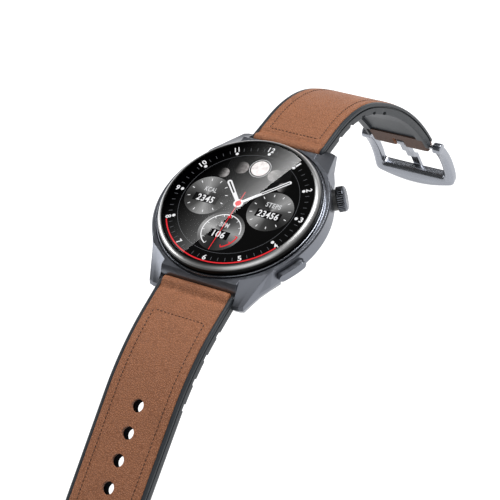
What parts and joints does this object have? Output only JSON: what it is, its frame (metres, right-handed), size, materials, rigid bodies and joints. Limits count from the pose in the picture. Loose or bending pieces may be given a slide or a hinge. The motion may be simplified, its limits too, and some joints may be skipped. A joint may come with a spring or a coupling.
{
  "type": "smartwatch",
  "caption": "Round smartwatch with a turning crown, a side button and a stitched leather and rubber strap with a pin buckle.",
  "frame": {"origin": "centre of the flat on the sensor window, which rests on the wrist", "axes": "+Z out of the dial, +Y to 12 o'clock, +X to 3 o'clock"},
  "size_m": [0.0492, 0.1824, 0.0794],
  "materials": {
    "case_steel": "brushed, smoke grey plated",
    "bezel_steel": "polished, smoke grey plated",
    "crown_steel": "knurled, smoke grey plated",
    "cover_glass": "clear, domed edge",
    "display": "black, lit dial",
    "strap_rubber": "satin moulded",
    "strap_leather": "smooth tan, stitched",
    "buckle_steel": "satin brushed",
    "pin_steel": "turned",
    "circuit_board": "solder mask",
    "chip": "moulded",
    "shield": "pressed sheet",
    "frame_plastic": "moulded",
    "battery": "foil pouch",
    "seal": "moulded",
    "contact": "polished",
    "magnet": "nickel plated",
    "back_plastic": "moulded black",
    "window": "dark polycarbonate",
    "led": "lens",
    "copper_flex": "polyimide film"
  },
  "bodies": {
    "case": {"back_cover": "back_plastic", "back_screws": "pin_steel", "back_seal": "seal", "battery": "battery", "bezel_ring": "bezel_steel", "board_chips": "chip", "charge_magnets": "magnet", "charge_ring_inner": "contact", "charge_ring_outer": "contact", "cover_glass": "cover_glass", "crown_switch": "chip", "crown_tube": "pin_steel", "display_flex": "copper_flex", "display_panel": "display", "glass_gasket": "seal", "inner_frame": "frame_plastic", "main_board": "circuit_board", "microphone": "chip", "mid_case": "case_steel", "motor_can": "shield", "processor_shield": "shield", "sensor_board": "circuit_board", "sensor_leds": "led", "sensor_photodiodes": "chip", "sensor_window": "window", "side_button_switch": "chip", "speaker": "chip"},
    "upper_strap": {"upper_rubber_base": "strap_rubber", "upper_leather_face": "strap_leather", "upper_bar_barrel": "pin_steel", "upper_bar_spring": "pin_steel"},
    "lower_strap": {"lower_rubber_base": "strap_rubber", "lower_leather_face": "strap_leather", "lower_bar_barrel": "pin_steel", "lower_bar_spring": "pin_steel"},
    "upper_tip_right": {"upper_bar_tip_right": "pin_steel"},
    "upper_tip_left": {"upper_bar_tip_left": "pin_steel"},
    "lower_tip_right": {"lower_bar_tip_right": "pin_steel"},
    "lower_tip_left": {"lower_bar_tip_left": "pin_steel"},
    "buckle": {"buckle_frame": "buckle_steel", "buckle_pin": "pin_steel"},
    "tongue": {"buckle_tongue": "buckle_steel"},
    "crown_slider": {"crown_pusher": "chip"},
    "crown": {"crown_knob": "crown_steel", "crown_stem": "pin_steel", "crown_oring": "seal", "crown_clip": "pin_steel"},
    "side_button": {"side_button_cap": "case_steel", "side_button_oring": "seal", "side_button_clip": "pin_steel"},
    "motor_rotor": {"motor_rotor": "pin_steel"}
  },
  "joints": [
    {"name": "upper_strap_fold", "type": "hinge", "parent": "case", "child": "upper_strap", "pos_m": [0, 0.0256, 0.004], "axis": [-1, 0, 0], "range_deg": [0, 50]},
    {"name": "lower_strap_fold", "type": "hinge", "parent": "case", "child": "lower_strap", "pos_m": [0, -0.0256, 0.004], "axis": [1, 0, 0], "range_deg": [0, 50]},
    {"name": "buckle_fold", "type": "hinge", "parent": "upper_strap", "child": "buckle", "pos_m": [0, 0.07497, -0.04724], "axis": [1, 0, 0], "range_deg": [-60, 45]},
    {"name": "tongue_fold", "type": "hinge", "parent": "buckle", "child": "tongue", "pos_m": [0, 0.07497, -0.04724], "axis": [1, 0, 0], "range_deg": [0, 90]},
    {"name": "crown_push", "type": "slide", "parent": "case", "child": "crown_slider", "axis": [-0.866, -0.5, 0], "range_m": [0, 0.0005], "stiffness_N_per_m": 2500, "springref_m": -0.0004},
    {"name": "crown_turn", "type": "hinge", "parent": "crown_slider", "child": "crown", "pos_m": [0.02165, 0.0125, 0.0049], "axis": [0.866, 0.5, 0], "continuous": true},
    {"name": "side_button_press", "type": "slide", "parent": "case", "child": "side_button", "axis": [-0.866, 0.5, 0], "range_m": [0, 0.0004], "stiffness_N_per_m": 2500, "springref_m": -0.0004},
    {"name": "upper_tip_right_press", "type": "slide", "parent": "upper_strap", "child": "upper_tip_right", "axis": [-1, 0, 0], "range_m": [0, 0.0014], "stiffness_N_per_m": 700, "springref_m": -0.0008},
    {"name": "upper_tip_left_press", "type": "slide", "parent": "upper_strap", "child": "upper_tip_left", "axis": [1, 0, 0], "range_m": [0, 0.0014], "stiffness_N_per_m": 700, "springref_m": -0.0008},
    {"name": "lower_tip_right_press", "type": "slide", "parent": "lower_strap", "child": "lower_tip_right", "axis": [-1, 0, 0], "range_m": [0, 0.0014], "stiffness_N_per_m": 700, "springref_m": -0.0008},
    {"name": "lower_tip_left_press", "type": "slide", "parent": "lower_strap", "child": "lower_tip_left", "axis": [1, 0, 0], "range_m": [0, 0.0014], "stiffness_N_per_m": 700, "springref_m": -0.0008},
    {"name": "motor_spin", "type": "hinge", "parent": "case", "child": "motor_rotor", "pos_m": [0, -0.0136, 0.0059], "axis": [0, 0, 1], "continuous": true}
  ]
}
